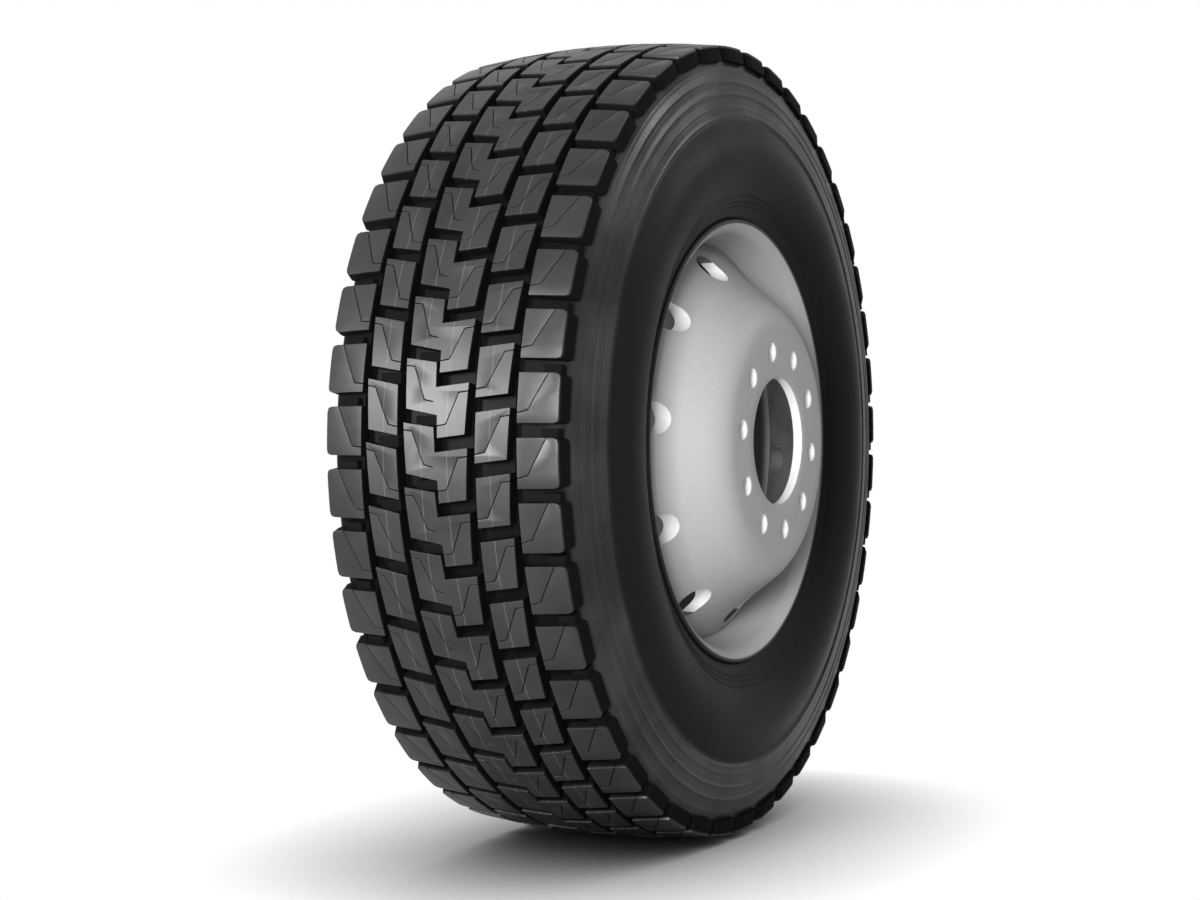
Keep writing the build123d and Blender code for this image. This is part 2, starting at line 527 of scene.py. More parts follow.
class StageSettings(PropertyGroup):
    """Camera, light and floor."""

    camera_place: FloatVectorProperty(
        name="Camera",
        description="Place of the camera",
        subtype="TRANSLATION",
        default=(-2.836, -1.1736, 0.0213),
    )
    camera_turn: FloatVectorProperty(
        name="Camera Turn",
        description="Turn of the camera",
        subtype="EULER",
        default=(math.radians(89.38), 0.0, math.radians(-63.304)),
    )
    lens: FloatProperty(
        name="Lens",
        description="Focal length in millimetres on a 36 mm wide sensor",
        default=68.769,
    )
    floor_colour: FloatVectorProperty(
        name="Floor Colour",
        description="Colour of the floor",
        subtype="COLOR",
        default=(0.7, 0.7, 0.7),
    )
    key_power: FloatProperty(
        name="Key Power",
        description="Power of the soft light on the tread",
        default=115.0,
        unit="POWER",
    )
    fill_power: FloatProperty(
        name="Fill Power",
        description="Power of the soft light from the left",
        default=165.0,
        unit="POWER",
    )
    top_power: FloatProperty(
        name="Top Power",
        description="Power of the soft light from above",
        default=6.0,
        unit="POWER",
    )
    disc_power: FloatProperty(
        name="Disc Power",
        description="Power of the soft light that the dome reflects",
        default=1.5,
        unit="POWER",
    )
    rim_power: FloatProperty(
        name="Rim Power",
        description="Power of the soft light behind the sidewall",
        default=10.0,
        unit="POWER",
    )
    ambient: FloatProperty(
        name="Ambient",
        description="Even light from all round",
        default=0.05,
    )


def begin_piece(name):
    """Starts an empty piece in edit mode, with nothing else selected."""
    if bpy.context.mode != "OBJECT":
        bpy.ops.object.mode_set(mode="OBJECT")
    bpy.ops.object.select_all(action="DESELECT")
    bpy.ops.mesh.primitive_plane_add(size=0.001, enter_editmode=True, location=(0, 0, 0))
    bpy.ops.mesh.delete(type="VERT")
    piece = bpy.context.object
    piece.name = piece.data.name = name
    return piece


def draw_chain(points):
    """Draws edges through the points in the piece in edit mode, and leaves them selected."""
    bpy.ops.mesh.select_mode(type="VERT")
    bpy.ops.mesh.select_all(action="DESELECT")
    bpy.ops.mesh.primitive_plane_add(size=0.001, location=(0, 0, 0))
    bpy.ops.mesh.merge(type="CENTER")
    bpy.ops.transform.translate(value=points[0])
    for before, after in zip(points, points[1:]):
        bpy.ops.mesh.extrude_region_move(TRANSFORM_OT_translate={"value": after - before})
    bpy.ops.mesh.select_linked()


def select_points(piece, test):
    """Selects the points of the piece in edit mode whose place passes the test."""
    bpy.ops.mesh.select_mode(type="VERT")
    bpy.ops.mesh.select_all(action="DESELECT")
    mesh = bmesh.from_edit_mesh(piece.data)
    for point in mesh.verts:
        point.select = test(point.co)
    mesh.select_flush(True)
    bmesh.update_edit_mesh(piece.data)


def select_edges(piece, test):
    """Selects the edges of the piece in edit mode whose two ends pass the test."""
    bpy.ops.mesh.select_mode(type="EDGE")
    bpy.ops.mesh.select_all(action="DESELECT")
    mesh = bmesh.from_edit_mesh(piece.data)
    for edge in mesh.edges:
        edge.select_set(all(test(point.co) for point in edge.verts))
    bmesh.update_edit_mesh(piece.data)


def close_up():
    """Merges double points of the piece in edit mode and turns its faces outwards."""
    bpy.ops.mesh.select_mode(type="VERT")
    bpy.ops.mesh.select_all(action="SELECT")
    bpy.ops.mesh.remove_doubles(threshold=0.00001)
    bpy.ops.mesh.normals_make_consistent(inside=False)


def spin_round(steps, offset):
    """Spins what is selected once round the wheel's axle."""
    bpy.ops.mesh.spin(steps=steps, angle=TURN, center=(0, offset, 0), axis=(0, 1, 0))
    close_up()


def take_up(piece):
    """Leaves edit mode and makes the piece the active one and the only one selected."""
    bpy.ops.object.mode_set(mode="OBJECT")
    bpy.ops.object.select_all(action="DESELECT")
    bpy.context.view_layer.objects.active = piece
    piece.select_set(True)


def apply_modifier(piece, kind, **values):
    """Adds a modifier to the piece, sets its values and applies it."""
    take_up(piece)
    bpy.ops.object.modifier_add(type=kind)
    modifier = piece.modifiers[-1]
    for name, value in values.items():
        setattr(modifier, name, value)
    bpy.ops.object.modifier_apply(modifier=modifier.name)


def round_edges(piece, width, segments):
    """Rounds the sharp edges of the piece."""
    apply_modifier(
        piece,
        "BEVEL",
        width=width,
        segments=segments,
        limit_method="ANGLE",
        angle_limit=math.radians(60),
    )


def cut_away(piece, cutter):
    """Cuts the cutter out of the piece and removes the cutter."""
    apply_modifier(piece, "BOOLEAN", operation="DIFFERENCE", solver="EXACT", object=cutter)
    bpy.data.objects.remove(cutter)


def place_piece(piece, location, rotation):
    """Moves and turns the piece and applies that to its mesh."""
    take_up(piece)
    piece.location = location
    piece.rotation_euler = rotation
    bpy.ops.object.transform_apply(location=True, rotation=True, scale=True)


def finish_piece(piece, node, angle):
    """Shades the piece and puts it in the place of its CAD node."""
    take_up(piece)
    bpy.ops.object.shade_smooth_by_angle(angle=math.radians(angle))
    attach(piece, "root")
    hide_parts(node)


def section_points(section, offset):
    """Places of a section given as radius and distance from the mid plane, in the X and Y plane."""
    return [Vector((r * MM, w * MM + offset, 0)) for r, w in section]


def tread_point(tyre, across, angle, drop=0.0):
    """Place on the flat pitch of a point of the tread: X along it, Y inward, Z outboard."""
    w = across * MM
    sag = tyre.crown_arc - math.sqrt(tyre.crown_arc**2 - w**2)
    lead = angle - STRIP_START * 360 / tyre.pitch_count - LOWEST_ANGLE
    return Vector((math.radians(lead) * tyre.tread_radius, sag + drop, -w))


def tread_drop(tyre, place):
    """Depth of a place on the flat pitch below the tread surface."""
    return place.y - tyre.crown_arc + math.sqrt(tyre.crown_arc**2 - place.z**2)


def draw_blocks(tyre):
    """One pitch of tread blocks, laid out flat."""
    blocks = begin_piece("tread")
    for outline in (OUTBOARD_SHOULDER, OUTBOARD_INNER, CENTRE, INBOARD_INNER, INBOARD_SHOULDER):
        draw_chain([tread_point(tyre, *corner) for corner in outline])
        bpy.ops.mesh.edge_face_add()
        bpy.ops.mesh.extrude_region_move(
            TRANSFORM_OT_translate={"value": (0, tyre.block_depth, 0)}
        )
    for side in (1, -1):
        select_points(
            blocks,
            lambda p: p.z * side > SHOULDER_EDGE and tread_drop(tyre, p) > tyre.block_depth / 2,
        )
        bpy.ops.transform.translate(value=(0, 0, side * tyre.shoulder_flare))
    close_up()
    return blocks


def draw_slits(tyre):
    """Blades that cut the fine slits of one pitch."""
    slits = begin_piece("slits")
    for line in SLITS:
        draw_chain([tread_point(tyre, *point, drop=-SLIT_RISE) for point in line])
        bpy.ops.mesh.extrude_region_move(
            TRANSFORM_OT_translate={"value": (0, tyre.slit_depth + SLIT_RISE, 0)}
        )
    apply_modifier(slits, "SOLIDIFY", thickness=tyre.slit_width, offset=0.0, use_even_offset=True)
    bpy.ops.object.mode_set(mode="EDIT")
    close_up()
    bpy.ops.object.mode_set(mode="OBJECT")
    return slits


def draw_tie_bars(tyre):
    """Tie bars of one pitch, laid out flat."""
    bars = begin_piece("tie_bars")
    for (w_one, t_one), (w_two, t_two) in TIE_BARS:
        corners = [(w_one, t_one), (w_one, t_two), (w_two, t_two), (w_two, t_one)]
        draw_chain([tread_point(tyre, *corner, drop=tyre.tie_bar_drop) for corner in corners])
        bpy.ops.mesh.edge_face_add()
        bpy.ops.mesh.extrude_region_move(
            TRANSFORM_OT_translate={"value": (0, tyre.block_depth - tyre.tie_bar_drop, 0)}
        )
    close_up()
    select_edges(bars, lambda p: abs(tread_drop(tyre, p) - tyre.tie_bar_drop) < SURFACE_TOLERANCE)
    bpy.ops.mesh.bevel(offset=0.001, segments=2, affect="EDGES")
    bpy.ops.object.mode_set(mode="OBJECT")
    return bars


def join_pieces(piece, *others):
    """Joins the other pieces into the piece."""
    bpy.ops.object.select_all(action="DESELECT")
    for other in others:
        other.select_set(True)
    piece.select_set(True)
    bpy.context.view_layer.objects.active = piece
    bpy.ops.object.join()


def make_tread(tyre, offset):
    """All tread blocks: one flat pitch, repeated and bent round the tyre."""
    blocks = draw_blocks(tyre)
    slits = draw_slits(tyre)
    cut_away(blocks, slits)
    bpy.ops.object.mode_set(mode="EDIT")
    close_up()
    select_edges(blocks, lambda p: abs(tread_drop(tyre, p)) < SURFACE_TOLERANCE)
    bpy.ops.mesh.bevel(offset=tyre.block_edge, segments=2, affect="EDGES", clamp_overlap=True)
    bars = draw_tie_bars(tyre)
    join_pieces(blocks, bars)

    pitch = TURN * tyre.tread_radius / tyre.pitch_count
    quarter = pitch / 4
    bpy.ops.object.mode_set(mode="EDIT")
    places = [point.co.x for point in blocks.data.vertices]
    first, last = min(places), max(places)
    cut = first + quarter
    while cut < last:
        bpy.ops.mesh.select_all(action="SELECT")
        bpy.ops.mesh.bisect(plane_co=(cut, 0, 0), plane_no=(1, 0, 0))
        cut += quarter
    bpy.ops.object.mode_set(mode="OBJECT")
    apply_modifier(
        blocks,
        "ARRAY",
        count=tyre.pitch_count,
        use_relative_offset=False,
        use_constant_offset=True,
        constant_offset_displace=(pitch, 0, 0),
    )
    length = last - first + (tyre.pitch_count - 1) * pitch
    apply_modifier(
        blocks,
        "SIMPLE_DEFORM",
        deform_method="BEND",
        deform_axis="Z",
        angle=length / tyre.tread_radius,
    )
    place_piece(blocks, (0, offset, -tyre.tread_radius), (math.radians(90), 0, 0))
    return blocks


def make_casing(tyre, offset):
    """The casing under the tread: its section spun round the axle."""
    casing = begin_piece("tyre_rubber")
    half = TREAD_FLOOR + SIDEWALL + BEAD_AND_LINER
    section = half + [(r, -w) for r, w in reversed(half)]
    draw_chain(section_points(section, offset))
    bpy.ops.mesh.edge_face_add()
    bpy.ops.mesh.delete(type="ONLY_FACE")
    bpy.ops.mesh.select_all(action="SELECT")
    spin_round(tyre.steps, offset)
    bpy.ops.object.mode_set(mode="OBJECT")
    return casing


def hole_cutter(name, radius, stretch, depth, chamfer):
    """A cutter for a hole along Z, which flares from the chamfer's depth below Z zero."""
    cutter = begin_piece(name)
    bpy.ops.mesh.primitive_circle_add(
        vertices=48, radius=radius, fill_type="NGON", location=(0, 0, -depth)
    )
    for side in (1, -1):
        select_points(cutter, lambda p: p.x * side > 0.00001)
        bpy.ops.transform.translate(value=(side * stretch / 2, 0, 0))
    bpy.ops.mesh.select_all(action="SELECT")
    bpy.ops.mesh.extrude_region_move(TRANSFORM_OT_translate={"value": (0, 0, depth - chamfer)})
    flare = 8 * MM
    bpy.ops.mesh.extrude_region_move(TRANSFORM_OT_translate={"value": (0, 0, flare)})
    bpy.ops.transform.resize(
        value=(1 + flare / radius, 1 + flare / radius, 1), center_override=(0, 0, 0)
    )
    close_up()
    bpy.ops.object.mode_set(mode="OBJECT")
    return cutter


def copy_round(cutter, wheel):
    """Copies the cutter to all hole places round the wheel."""
    place_piece(cutter, (0, 0, 0), (0, -wheel.hole_start, 0))
    bpy.ops.object.mode_set(mode="EDIT")
    bpy.ops.mesh.select_all(action="SELECT")
    bpy.ops.mesh.spin(
        steps=wheel.hole_count - 1,
        dupli=True,
        angle=TURN * (wheel.hole_count - 1) / wheel.hole_count,
        center=(0, 0, 0),
        axis=(0, 1, 0),
    )
    bpy.ops.object.mode_set(mode="OBJECT")


def at_hand_holes(place):
    """Whether a place is as far from the axle as the hand holes."""
    return HAND_HOLES_FROM < math.hypot(place.x, place.z) < HAND_HOLES_TO


def paint_faces(piece, slot, test):
    """Gives the faces whose middle and normal pass the test another of the piece's materials."""
    bpy.ops.object.mode_set(mode="EDIT")
    bpy.ops.mesh.select_mode(type="FACE")
    bpy.ops.mesh.select_all(action="DESELECT")
    mesh = bmesh.from_edit_mesh(piece.data)
    for face in mesh.faces:
        face.select_set(test(face.calc_center_median(), face.normal))
    bmesh.update_edit_mesh(piece.data)
    piece.active_material_index = slot
    bpy.ops.object.material_slot_assign()
    bpy.ops.object.mode_set(mode="OBJECT")


def new_group(name, inputs, outputs):
    """A shader node group with its sockets, and its input and output nodes."""
    group = bpy.data.node_groups.new(name, "ShaderNodeTree")
    for label, kind, default in inputs:
        socket = group.interface.new_socket(label, in_out="INPUT", socket_type=kind)
        socket.default_value = default
    for label, kind in outputs:
        group.interface.new_socket(label, in_out="OUTPUT", socket_type=kind)
    return group, group.nodes.new("NodeGroupInput"), group.nodes.new("NodeGroupOutput")


def add_math(tree, operation, first, second=None, third=None):
    """Adds a maths node whose inputs are sockets or numbers, and gives its output."""
    node = tree.nodes.new("ShaderNodeMath")
    node.operation = operation
    for socket, value in zip(node.inputs, (first, second, third)):
        if isinstance(value, bpy.types.NodeSocket):
            tree.links.new(value, socket)
        elif value is not None:
            socket.default_value = value
    return node.outputs[0]


def add_range(tree, value, low, high, to_low=0.0, to_high=1.0):
    """Adds a smooth map of a value from one range to another, and gives its output."""
    node = tree.nodes.new("ShaderNodeMapRange")
    node.interpolation_type = "SMOOTHSTEP"
    tree.links.new(value, node.inputs["Value"])
    numbers = {"From Min": low, "From Max": high, "To Min": to_low, "To Max": to_high}
    for label, number in numbers.items():
        node.inputs[label].default_value = number
    return node.outputs["Result"]


def add_mix(tree, factor, first, second):
    """Adds a colour mix of two colours or sockets, and gives its output."""
    node = tree.nodes.new("ShaderNodeMix")
    node.data_type = "RGBA"
    for place, value in ((0, factor), (6, first), (7, second)):
        socket = node.inputs[place]
        if isinstance(value, bpy.types.NodeSocket):
            tree.links.new(value, socket)
        else:
            socket.default_value = (*value, 1.0)
    return node.outputs[2]


def wheel_place_group():
    """Radius from the axle and distance from the tyre's mid plane of each place."""
    found = bpy.data.node_groups.get("wheel_place")
    if found:
        return found
    offset = bpy.context.scene.wheel_settings.offset
    group, _, result = new_group(
        "wheel_place", [], [("Radius", "NodeSocketFloat"), ("Across", "NodeSocketFloat")]
    )
    place = group.nodes.new("ShaderNodeTexCoord")
    split = group.nodes.new("ShaderNodeSeparateXYZ")
    group.links.new(place.outputs["Object"], split.inputs[0])
    x_square = add_math(group, "MULTIPLY", split.outputs["X"], split.outputs["X"])
    z_square = add_math(group, "MULTIPLY", split.outputs["Z"], split.outputs["Z"])
    radius = add_math(group, "SQRT", add_math(group, "ADD", x_square, z_square))
    group.links.new(radius, result.inputs["Radius"])
    across = add_math(group, "SUBTRACT", split.outputs["Y"], offset)
    group.links.new(across, result.inputs["Across"])
    return group


def add_wheel_place(tree):
    """Adds the wheel place group, and gives its radius and its distance across."""
    node = tree.nodes.new("ShaderNodeGroup")
    node.node_tree = wheel_place_group()
    return node.outputs["Radius"], node.outputs["Across"]


def add_satin(tree, shader, grain, low, high):
    """Lets the broad cloud vary the roughness between two values."""
    satin = add_range(tree, grain.outputs["Cloud"], 0.3, 0.7, low, high)
    tree.links.new(satin, shader.inputs["Roughness"])


def fine_grain_group():
    """Fine grain for a bump, and a broad cloud for uneven colour and gloss."""
    found = bpy.data.node_groups.get("fine_grain")
    if found:
        return found
    group, given, result = new_group(
        "fine_grain",
        [("Grain Scale", "NodeSocketFloat", 900.0), ("Cloud Scale", "NodeSocketFloat", 9.0)],
        [("Grain", "NodeSocketFloat"), ("Cloud", "NodeSocketFloat")],
    )
    place = group.nodes.new("ShaderNodeTexCoord")
    for scale, output, detail in (("Grain Scale", "Grain", 3.0), ("Cloud Scale", "Cloud", 4.0)):
        noise = group.nodes.new("ShaderNodeTexNoise")
        noise.inputs["Detail"].default_value = detail
        group.links.new(place.outputs["Object"], noise.inputs["Vector"])
        group.links.new(given.outputs[scale], noise.inputs["Scale"])
        group.links.new(noise.outputs["Fac"], result.inputs[output])
    return group


def new_material(name, grain_scale, cloud_scale, bump_height, bump_strength):
    """A material with its shader, a grain group and a bump from the grain."""
    material = bpy.data.materials.new(name)
    material.use_nodes = True
    tree = material.node_tree
    shader = tree.nodes["Principled BSDF"]
    grain = tree.nodes.new("ShaderNodeGroup")
    grain.node_tree = fine_grain_group()
    grain.inputs["Grain Scale"].default_value = grain_scale
    grain.inputs["Cloud Scale"].default_value = cloud_scale
    bump = tree.nodes.new("ShaderNodeBump")
    bump.inputs["Strength"].default_value = bump_strength
    bump.inputs["Distance"].default_value = bump_height
    tree.links.new(grain.outputs["Grain"], bump.inputs["Height"])
    tree.links.new(bump.outputs["Normal"], shader.inputs["Normal"])
    return material, tree, shader, grain


def tread_material(tyre):
    """Rubber of the blocks: dull grey tops with pale mould lines, and walls painted near black as
    painted shade in the grooves.
    """
    material, tree, shader, grain = new_material("tread_rubber", 1100.0, 14.0, 0.0004, 0.25)
    radius, across = add_wheel_place(tree)
    across_square = add_math(tree, "MULTIPLY", across, across)
    sag = add_math(tree, "MULTIPLY", across_square, 0.5 / tyre.crown_arc)
    height = add_math(tree, "SUBTRACT", add_math(tree, "ADD", radius, sag), tyre.tread_radius)
    top = add_range(tree, height, *TREAD_TOP)
    lines = None
    for line_place in MOULD_LINES:
        line = add_math(tree, "COMPARE", across, line_place, MOULD_LINE_HALF)
        lines = line if lines is None else add_math(tree, "MAXIMUM", lines, line)
    lines = add_math(tree, "MULTIPLY", add_math(tree, "MULTIPLY", lines, top), 0.55)
    cloud = add_range(tree, grain.outputs["Cloud"], 0.3, 0.7, 0.72, 1.0)
    dusty = add_mix(tree, cloud, tuple(tyre.shaded_wall_colour), tuple(tyre.tread_colour))
    # Everything below the block tops takes the near black wall colour as painted shade
    colour = add_mix(tree, top, tuple(tyre.shaded_wall_colour), dusty)
    colour = add_mix(tree, lines, colour, tuple(tyre.line_colour))
    tree.links.new(colour, shader.inputs["Base Color"])
    gloss = add_range(tree, grain.outputs["Cloud"], 0.25, 0.75, -0.04, 0.04)
    dull = add_range(tree, height, *TREAD_TOP, 0.8, 0.4)
    tree.links.new(add_math(tree, "ADD", dull, gloss), shader.inputs["Roughness"])
    sheen = add_range(tree, grain.outputs["Cloud"], 0.25, 0.75, 0.42, 0.58)
    tree.links.new(add_math(tree, "MULTIPLY", top, sheen), shader.inputs["Coat Weight"])
    shader.inputs["Coat Roughness"].default_value = 0.4
    shader.inputs["Specular IOR Level"].default_value = 0.03
    return material


def side_material(tyre):
    """Rubber of the casing: black and smooth, with the ribs below the shoulder painted lighter in a
    cloud as a painted highlight, and the groove floors painted near black as painted shade.
    """
    material, tree, shader, grain = new_material("side_rubber", 1400.0, 9.0, 0.0003, 0.2)
    radius, _ = add_wheel_place(tree)
    # The ribs below the shoulder are painted lighter in a cloud: a painted highlight
    ribs = add_range(tree, radius, *RIBS_START)
    ribs = add_math(tree, "MULTIPLY", ribs, add_range(tree, radius, *RIBS_END, 1.0, 0.0))
    cloud = add_range(tree, grain.outputs["Cloud"], 0.3, 0.7, 0.35, 1.0)
    rib_sheen = add_math(tree, "MULTIPLY", ribs, cloud)
    colour = add_mix(tree, rib_sheen, tuple(tyre.side_colour), tuple(tyre.rib_sheen_colour))
    # Groove floors above the tread foot take the near black wall colour as painted shade
    foot = add_range(tree, radius, *TREAD_FOOT)
    colour = add_mix(tree, foot, colour, tuple(tyre.shaded_wall_colour))
    tree.links.new(colour, shader.inputs["Base Color"])
    gloss = add_range(tree, grain.outputs["Cloud"], 0.25, 0.75, 0.38, 0.46)
    polish = add_math(tree, "MULTIPLY", ribs, 0.15)
    tree.links.new(add_math(tree, "SUBTRACT", gloss, polish), shader.inputs["Roughness"])
    tree.links.new(add_math(tree, "MULTIPLY", rib_sheen, 0.2), shader.inputs["Coat Weight"])
    shader.inputs["Coat Roughness"].default_value = 0.3
    shader.inputs["Specular IOR Level"].default_value = 0.03
    return material


def paint_material(wheel):
    """Silver paint with a fine metal flake, painted shade inside the rim, and its lips painted near
    black where they meet the tyre.
    """
    found = bpy.data.materials.get("silver_paint")
    if found:
        return found
    material, tree, shader, grain = new_material("silver_paint", 420.0, 7.0, 0.0003, 0.06)
    flake = tree.nodes.new("ShaderNodeTexVoronoi")
    flake.inputs["Scale"].default_value = 1600.0
    place = tree.nodes.new("ShaderNodeTexCoord")
    tree.links.new(place.outputs["Object"], flake.inputs["Vector"])
    spark = tree.nodes.new("ShaderNodeSeparateColor")
    tree.links.new(flake.outputs["Color"], spark.inputs[0])
    bright = tuple(min(1.0, 1.12 * value) for value in wheel.paint_colour)
    dark = tuple(0.9 * value for value in wheel.paint_colour)
    colour = add_mix(tree, spark.outputs[0], dark, bright)
    radius, across = add_wheel_place(tree)
    # Painted shade across the inside of the rim's barrel, fading out towards its inboard lip
    painted_shade = add_math(
        tree,
        "MULTIPLY",
        add_range(tree, across, *SHADE_START),
        add_range(tree, across, *SHADE_END, 0.95, 0.0),
    )
    colour = add_mix(tree, painted_shade, colour, tuple(wheel.painted_shade_colour))
    # The lips of the rim are painted near black where they meet the tyre
    lip_black = add_range(tree, radius, *LIP_START)
    colour = add_mix(tree, lip_black, colour, tuple(wheel.lip_black_colour))
    tree.links.new(colour, shader.inputs["Base Color"])
    add_satin(tree, shader, grain, 0.44, 0.52)
    shader.inputs["Metallic"].default_value = 0.03
    shader.inputs["Specular IOR Level"].default_value = 0.15
    return material


def lit_wall_material(wheel):
    """Near white steel on the walls of the holes: painted light on the lit walls, given the look of
    machined steel.
    """
    material, tree, shader, grain = new_material("machined_steel_painted_light", 900.0, 40.0, 0.0001, 0.15)
    worn = tuple(0.85 * value for value in wheel.lit_wall_colour)
    colour = add_mix(tree, grain.outputs["Cloud"], worn, tuple(wheel.lit_wall_colour))
    tree.links.new(colour, shader.inputs["Base Color"])
    add_satin(tree, shader, grain, 0.32, 0.42)
    shader.inputs["Metallic"].default_value = 0.2
    return material


def shaded_face_material(wheel):
    """Paint darkened as painted shade on the back of the disc and the far walls of its hand holes.
    """
    material, tree, shader, grain = new_material("paint_with_painted_shade", 700.0, 12.0, 0.0003, 0.2)
    cloud = add_range(tree, grain.outputs["Cloud"], 0.3, 0.7, 0.05, 0.3)
    colour = add_mix(tree, cloud, tuple(wheel.painted_shade_colour), tuple(wheel.paint_colour))
    tree.links.new(colour, shader.inputs["Base Color"])
    add_satin(tree, shader, grain, 0.7, 0.55)
    return material


def metal_material(name, colour):
    """Turned metal with faint tool marks."""
    material, tree, shader, grain = new_material(name, 1500.0, 60.0, 0.0001, 0.2)
    worn = tuple(0.7 * value for value in colour)
    mixed = add_mix(tree, grain.outputs["Cloud"], worn, tuple(colour))
    tree.links.new(mixed, shader.inputs["Base Color"])
    add_satin(tree, shader, grain, 0.28, 0.42)
    shader.inputs["Metallic"].default_value = 1.0
    return material


def plastic_material(name, colour):
    """Moulded black plastic with a fine texture."""
    material, tree, shader, grain = new_material(name, 2200.0, 80.0, 0.0001, 0.3)
    pale = tuple(1.5 * value for value in colour)
    mixed = add_mix(tree, grain.outputs["Cloud"], tuple(colour), pale)
    tree.links.new(mixed, shader.inputs["Base Color"])
    add_satin(tree, shader, grain, 0.4, 0.55)
    return material


class TRUCKTYRE_OT_tyre(Operator):
    """Models the tyre: a spun casing with tread blocks bent round it"""

    bl_idname = "truck_tyre.tyre"
    bl_label = "Tyre"

    def execute(self, context):
        tyre = context.scene.tyre_settings
        offset = context.scene.wheel_settings.offset
        tread = make_tread(tyre, offset)
        tread.data.materials.append(tread_material(tyre))
        casing = make_casing(tyre, offset)
        casing.data.materials.append(side_material(tyre))
        join_pieces(casing, tread)
        finish_piece(casing, "tyre", 24)
        return {"FINISHED"}


class TRUCKTYRE_OT_rim(Operator):
    """Models the rim: a sheet spun round the axle, with rounded bends and lips"""

    bl_idname = "truck_tyre.rim"
    bl_label = "Rim"

    def execute(self, context):
        wheel = context.scene.wheel_settings
        rim = begin_piece("rim_steel")
        draw_chain(section_points(RIM_LINE, wheel.offset))
        select_points(rim, lambda p: abs(p.y - wheel.offset) < RIM_BENDS_WITHIN)
        bpy.ops.mesh.bevel(offset=RIM_BEND, segments=4, affect="VERTICES")
        bpy.ops.mesh.select_all(action="SELECT")
        spin_round(wheel.steps, wheel.offset)
        apply_modifier(rim, "SOLIDIFY", thickness=wheel.rim_wall, offset=1.0, use_even_offset=True)
        round_edges(rim, 0.0026, 3)
        valve_hole = begin_piece("valve_hole")
        bpy.ops.mesh.primitive_cylinder_add(vertices=32, radius=wheel.valve_hole, depth=0.04)
        place_piece(
            valve_hole,
            (VALVE_HOLE_RADIUS, wheel.offset - VALVE_HOLE_OUT, 0),
            (math.radians(90), 0, math.radians(-45)),
        )
        place_piece(valve_hole, (0, 0, 0), (0, -wheel.valve_turn, 0))
        cut_away(rim, valve_hole)
        rim.data.materials.append(paint_material(wheel))
        finish_piece(rim, "rim", 35)
        return {"FINISHED"}


class TRUCKTYRE_OT_wheel_disc(Operator):
    """Models the disc: a spun dome with stud holes and hand holes cut through it"""

    bl_idname = "truck_tyre.wheel_disc"
    bl_label = "Wheel Disc"

    def execute(self, context):
        wheel = context.scene.wheel_settings
        disc = begin_piece("wheel_disc_steel")
        draw_chain(section_points(DISC_LINE, wheel.offset))
        spin_round(wheel.steps, wheel.offset)
        apply_modifier(
            disc, "SOLIDIFY", thickness=wheel.disc_wall, offset=-1.0, use_even_offset=True
        )
        bpy.ops.object.mode_set(mode="EDIT")
        select_points(
            disc,
            lambda p: math.hypot(p.x, p.z) > BACK_EDGE_RADIUS
            and wheel.offset - p.y < BACK_EDGE_OUT,
        )
        bpy.ops.transform.resize(value=(SEAT_SCALE, 1, SEAT_SCALE), center_override=(0, 0, 0))
        bpy.ops.transform.translate(value=(0, SEAT_SHIFT, 0))
        round_edges(disc, 0.0012, 2)
        studs = hole_cutter("stud_holes", wheel.stud_hole, stretch=0.0, depth=0.03, chamfer=0.0012)
        place_piece(studs, (wheel.stud_circle, -wheel.disc_wall, 0), (math.radians(90), 0, 0))
        copy_round(studs, wheel)
        cut_away(disc, studs)
        # The flare of this cutter starts above the dome, so a hand hole has no chamfer
        hands = hole_cutter(
            "hand_holes", wheel.hand_hole, wheel.hand_hole_stretch, depth=0.06, chamfer=-0.03
        )
        bpy.ops.object.mode_set(mode="EDIT")
        bpy.ops.mesh.select_all(action="SELECT")
        bpy.ops.transform.resize(value=(HAND_HOLE_SQUEEZE, 1, 1), center_override=(0, 0, 0))
        place_piece(
            hands, (HAND_HOLE_CIRCLE, wheel.offset - HAND_HOLE_OUT, 0), (math.radians(90), 0, 0)
        )
        copy_round(hands, wheel)
        cut_away(disc, hands)
        for material in (paint_material(wheel), lit_wall_material(wheel), shaded_face_material(wheel)):
            disc.data.materials.append(material)
        # The back of the disc and the hand-hole walls get the dark paint as painted shade
        paint_faces(
            disc, SHADED_FACES, lambda p, n: n.y > WALL_SLOPE or n.y > -WALL_SLOPE and at_hand_holes(p)
        )
        # The walls of the bore and the stud holes, and the hand-hole walls that face away from the
        # axle, get near white as painted light
        paint_faces(
            disc,
            LIT_WALLS,
            lambda p, n: abs(n.y) < WALL_SLOPE
            and BORE_FROM < math.hypot(p.x, p.z) < HAND_HOLES_FROM,
        )
        paint_faces(
            disc,
            LIT_WALLS,
            lambda p, n: abs(n.y) < WALL_SLOPE
            and at_hand_holes(p)
            and n.x * p.x + n.z * p.z > FACES_AXLE,
        )
        finish_piece(disc, "wheel_disc", 30)
        return {"FINISHED"}


class TRUCKTYRE_OT_valve(Operator):
    """Gives the valve's solids their brass and plastic"""

    bl_idname = "truck_tyre.valve"
    bl_label = "Valve"

    def execute(self, context):
        valve = context.scene.valve_settings
        brass = metal_material("valve_brass", valve.brass_colour)
        plastic = plastic_material("valve_plastic", valve.cap_colour)
        for node, material in (("valve_stem", brass), ("valve_nut", brass), ("valve_cap", plastic)):
            solid = frame["nodes"][node]
            solid.data.materials.clear()
            solid.data.materials.append(material)
        return {"FINISHED"}


